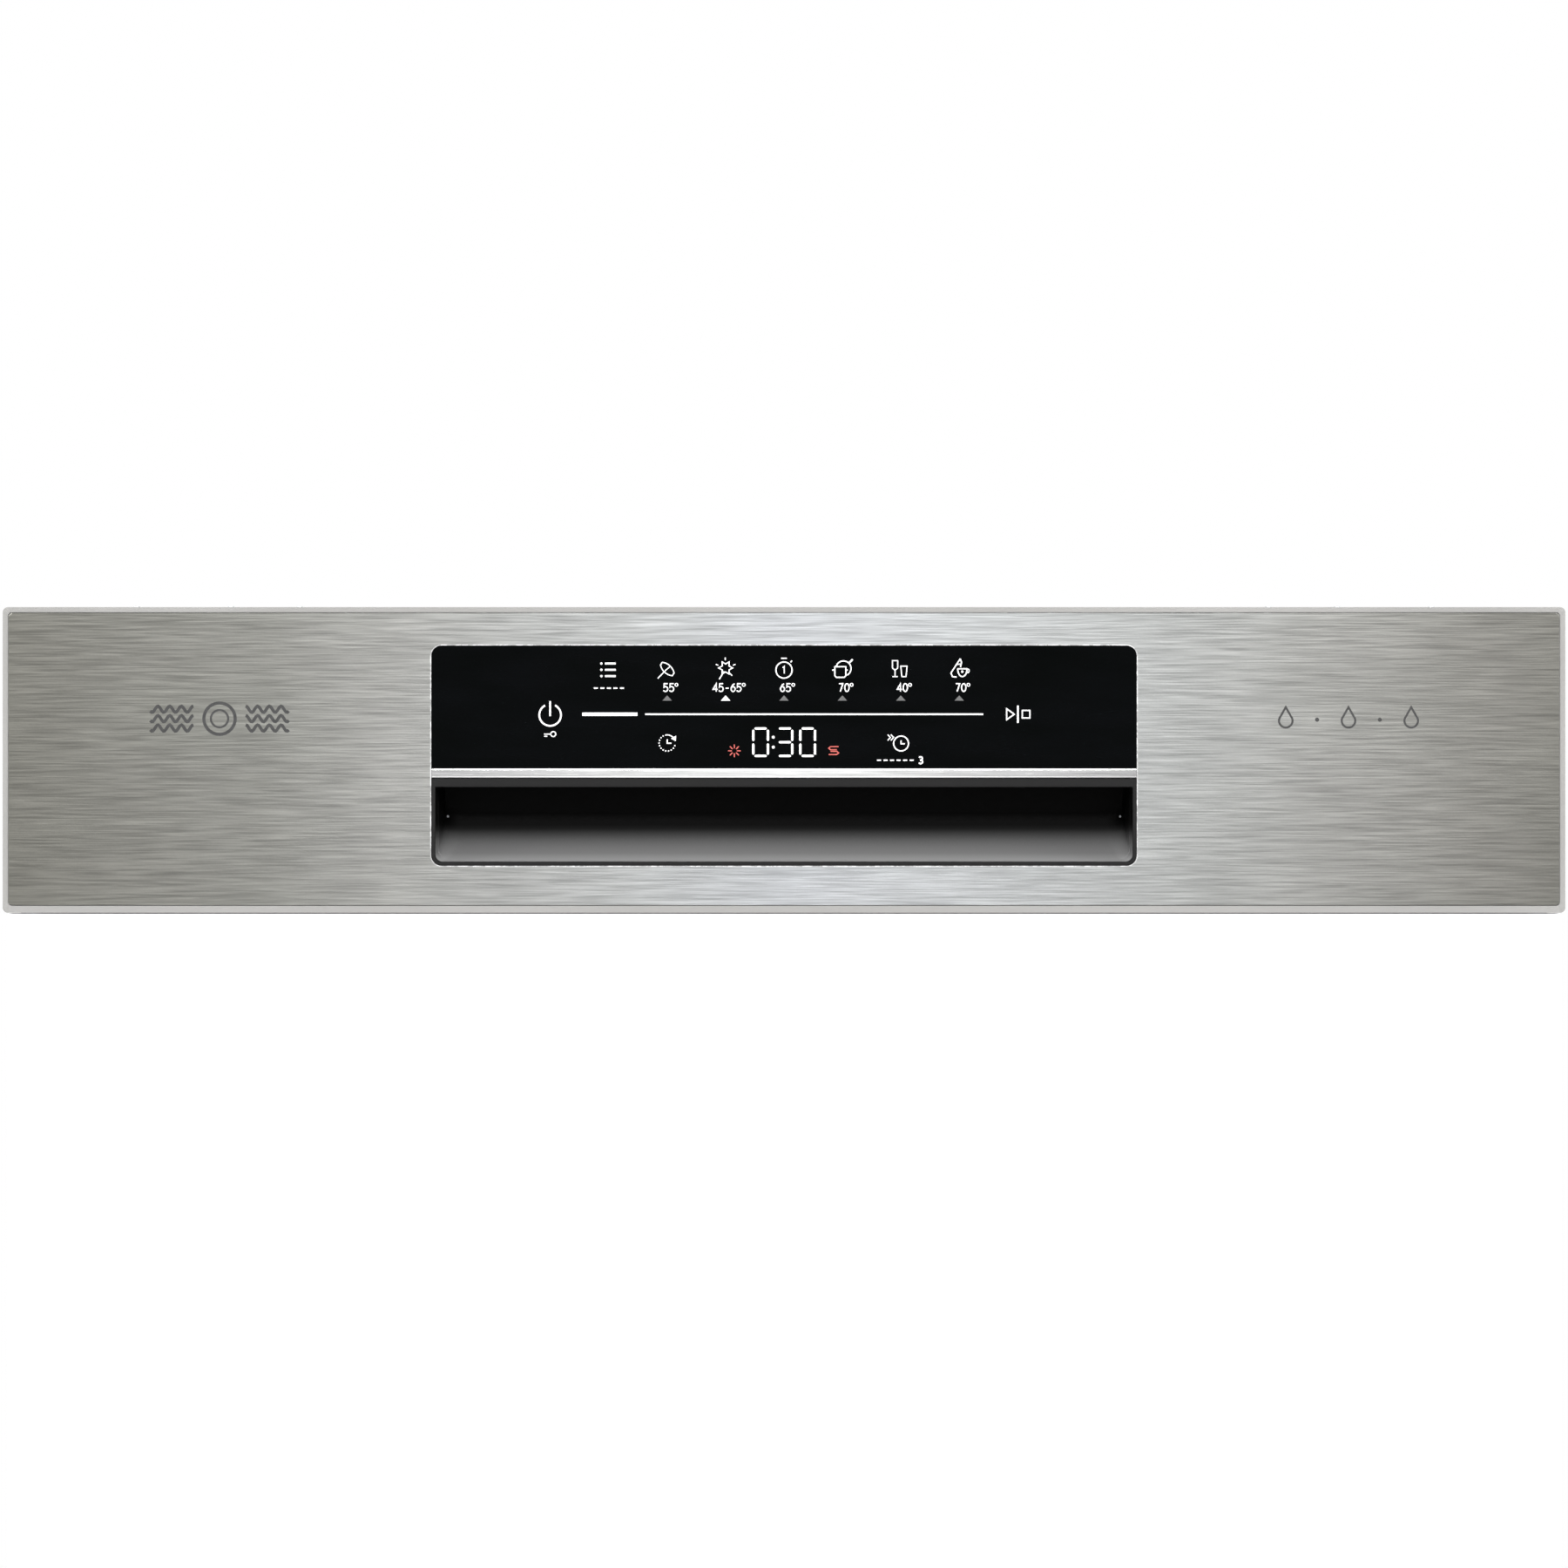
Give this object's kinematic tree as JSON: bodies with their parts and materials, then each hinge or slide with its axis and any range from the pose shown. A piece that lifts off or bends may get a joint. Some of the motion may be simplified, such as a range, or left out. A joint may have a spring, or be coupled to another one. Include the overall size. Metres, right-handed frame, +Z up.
{
  "type": "built in dishwasher",
  "caption": "Built-in dishwasher with a brushed steel control fascia, a black touch display over a grip recess, a white furniture front, a hinged door, racks and spray arms.",
  "frame": {"origin": "on the floor under the middle of the machine's width and depth", "axes": "+Z up, front faces -Y, +X to the right seen from the front"},
  "size_m": [0.598, 0.57, 0.817],
  "materials": {
    "brushed_steel": "horizontally brushed stainless, satin",
    "tub_steel": "bright stainless sheet, faint grain",
    "galvanised": "galvanised sheet, dull with faint spangle",
    "fascia_rim": "light grey moulded plastic, fine satin",
    "black_glass": "gloss black touch glass with lit symbols",
    "bright_strip": "polished bright strip",
    "grip_plastic": "dark grey satin plastic",
    "circuit_board": "solder mask with parts",
    "white_front": "white lacquered board",
    "felt": "bitumen and felt mat",
    "rubber": "soft grey-black seal rubber",
    "base_plastic": "dark moulded polypropylene",
    "grey_plastic": "mid grey moulded polypropylene",
    "white_plastic": "white moulded plastic",
    "blue_plastic": "blue moulded plastic",
    "filter_mesh": "fine stainless mesh",
    "rack_wire": "grey nylon-coated wire",
    "spring_steel": "dark spring steel",
    "hose_rubber": "ribbed hose"
  },
  "bodies": {
    "cabinet": {"base_tray": "base_plastic", "plinth": "galvanised", "tub_wrap": "tub_steel", "tub_floor": "tub_steel", "front_frame": "tub_steel", "door_seal": "rubber", "outer_panels": "galvanised", "insulation_jacket": "felt", "top_frame": "galvanised", "hinge_brackets": "galvanised", "door_springs": "spring_steel", "sump": "base_plastic", "wash_pump_housing": "base_plastic", "drain_pump_housing": "grey_plastic", "salt_container": "white_plastic", "air_break_box": "white_plastic", "inlet_valve": "white_plastic", "internal_hoses": "hose_rubber", "terminal_box": "grey_plastic", "filter_plate": "filter_mesh", "feed_pipe": "grey_plastic", "rail_channels": "galvanised", "latch_strike": "galvanised"},
    "door": {"fascia_plate": "brushed_steel", "fascia_carrier": "fascia_rim", "display_glass": "black_glass", "accent_strip": "bright_strip", "grip_recess": "grip_plastic", "control_board": "circuit_board", "door_outer_panel": "galvanised", "door_insulation": "felt", "door_inner_panel": "tub_steel", "door_bottom_seal": "rubber", "furniture_front": "white_front", "hinge_arms": "galvanised", "door_screws": "spring_steel", "dispenser_body": "grey_plastic"},
    "upper_rack": {"upper_rack": "rack_wire", "upper_arm_feed": "grey_plastic"},
    "lower_rack": {"lower_rack": "rack_wire", "wheel_carriers": "grey_plastic", "cutlery_basket": "grey_plastic"},
    "foot_front_left": {"foot_front_left": "grey_plastic"},
    "foot_front_right": {"foot_front_right": "grey_plastic"},
    "foot_rear": {"foot_rear": "grey_plastic"},
    "wash_pump_rotor": {"wash_pump_rotor": "white_plastic"},
    "drain_pump_rotor": {"drain_pump_rotor": "white_plastic"},
    "salt_cap": {"salt_cap": "blue_plastic"},
    "filter_cylinder": {"filter_cylinder": "filter_mesh"},
    "lower_spray_arm": {"lower_spray_arm": "grey_plastic"},
    "ceiling_spray_arm": {"ceiling_spray_arm": "grey_plastic"},
    "upper_spray_arm": {"upper_spray_arm": "grey_plastic"},
    "latch_hook": {"latch_hook": "white_plastic"},
    "dispenser_lid": {"dispenser_lid": "white_plastic"},
    "rinse_cap": {"rinse_cap": "blue_plastic"},
    "rail_sliders": {"rail_sliders": "galvanised"},
    "cup_shelf": {"cup_shelf": "rack_wire"},
    "folding_tines": {"folding_tines": "rack_wire"},
    "wheels_front": {"wheels_front": "grey_plastic"},
    "wheels_rear": {"wheels_rear": "grey_plastic"}
  },
  "joints": [
    {"name": "door_hinge", "type": "hinge", "parent": "cabinet", "child": "door", "pos_m": [0, -0.225, 0.15], "axis": [1, 0, 0], "range_deg": [0, 90], "stiffness_Nm_per_rad": 26},
    {"name": "rail_slide", "type": "slide", "parent": "cabinet", "child": "rail_sliders", "axis": [0, -1, 0], "range_m": [0, 0.2125]},
    {"name": "upper_rack_slide", "type": "slide", "parent": "rail_sliders", "child": "upper_rack", "axis": [0, -1, 0], "range_m": [0, 0.2125]},
    {"name": "lower_rack_slide", "type": "slide", "parent": "cabinet", "child": "lower_rack", "axis": [0, -1, 0], "range_m": [0, 0.127]},
    {"name": "front_wheel_roll", "type": "hinge", "parent": "lower_rack", "child": "wheels_front", "pos_m": [0, -0.12, 0.1803], "axis": [1, 0, 0], "range_deg": [0, 425]},
    {"name": "rear_wheel_roll", "type": "hinge", "parent": "lower_rack", "child": "wheels_rear", "pos_m": [0, 0.15, 0.1803], "axis": [1, 0, 0], "range_deg": [0, 425]},
    {"name": "cup_shelf_fold", "type": "hinge", "parent": "upper_rack", "child": "cup_shelf", "pos_m": [-0.241, 0, 0.62], "axis": [0, -1, 0], "range_deg": [0, 88]},
    {"name": "tine_fold", "type": "hinge", "parent": "lower_rack", "child": "folding_tines", "pos_m": [0, 0.06, 0.222], "axis": [1, 0, 0], "range_deg": [0, 88]},
    {"name": "lower_arm_spin", "type": "hinge", "parent": "cabinet", "child": "lower_spray_arm", "pos_m": [0, 0.015, 0.185], "axis": [0, 0, 1], "continuous": true},
    {"name": "upper_arm_spin", "type": "hinge", "parent": "upper_rack", "child": "upper_spray_arm", "pos_m": [0, 0.015, 0.492], "axis": [0, 0, 1], "continuous": true},
    {"name": "ceiling_arm_spin", "type": "hinge", "parent": "cabinet", "child": "ceiling_spray_arm", "pos_m": [0, 0.015, 0.76], "axis": [0, 0, 1], "continuous": true},
    {"name": "wash_rotor_spin", "type": "hinge", "parent": "cabinet", "child": "wash_pump_rotor", "pos_m": [0.217, 0.045, 0.086], "axis": [1, 0, 0], "continuous": true},
    {"name": "drain_rotor_spin", "type": "hinge", "parent": "cabinet", "child": "drain_pump_rotor", "pos_m": [0.19, -0.075, 0.078], "axis": [1, 0, 0], "continuous": true},
    {"name": "salt_cap_turn", "type": "hinge", "parent": "cabinet", "child": "salt_cap", "pos_m": [-0.15, -0.085, 0.152], "axis": [0, 0, 1], "range_deg": [0, 540]},
    {"name": "filter_turn", "type": "hinge", "parent": "cabinet", "child": "filter_cylinder", "pos_m": [0.095, -0.075, 0.12], "axis": [0, 0, 1], "range_deg": [0, 90]},
    {"name": "latch_turn", "type": "hinge", "parent": "door", "child": "latch_hook", "pos_m": [0, -0.245, 0.8], "axis": [1, 0, 0], "range_deg": [0, 6]},
    {"name": "dispenser_lid_open", "type": "hinge", "parent": "door", "child": "dispenser_lid", "pos_m": [-0.055, -0.2174, 0.4275], "axis": [-1, 0, 0], "range_deg": [0, 100]},
    {"name": "rinse_cap_open", "type": "hinge", "parent": "door", "child": "rinse_cap", "pos_m": [0.02, -0.2174, 0.4735], "axis": [-1, 0, 0], "range_deg": [0, 100]},
    {"name": "foot_front_left_screw", "type": "slide", "parent": "cabinet", "child": "foot_front_left", "axis": [0, 0, -1], "range_m": [0, 0.05]},
    {"name": "foot_front_right_screw", "type": "slide", "parent": "cabinet", "child": "foot_front_right", "axis": [0, 0, -1], "range_m": [0, 0.05]},
    {"name": "foot_rear_screw", "type": "slide", "parent": "cabinet", "child": "foot_rear", "axis": [0, 0, -1], "range_m": [0, 0.05]}
  ],
  "couplings": [
    {"joint": "rail_slide", "follows": "door_hinge", "m_per_rad": 0.135},
    {"joint": "upper_rack_slide", "follows": "door_hinge", "m_per_rad": 0.135},
    {"joint": "lower_rack_slide", "follows": "door_hinge", "m_per_rad": 0.08},
    {"joint": "front_wheel_roll", "follows": "door_hinge", "ratio": 4.7059},
    {"joint": "rear_wheel_roll", "follows": "door_hinge", "ratio": 4.7059}
  ]
}
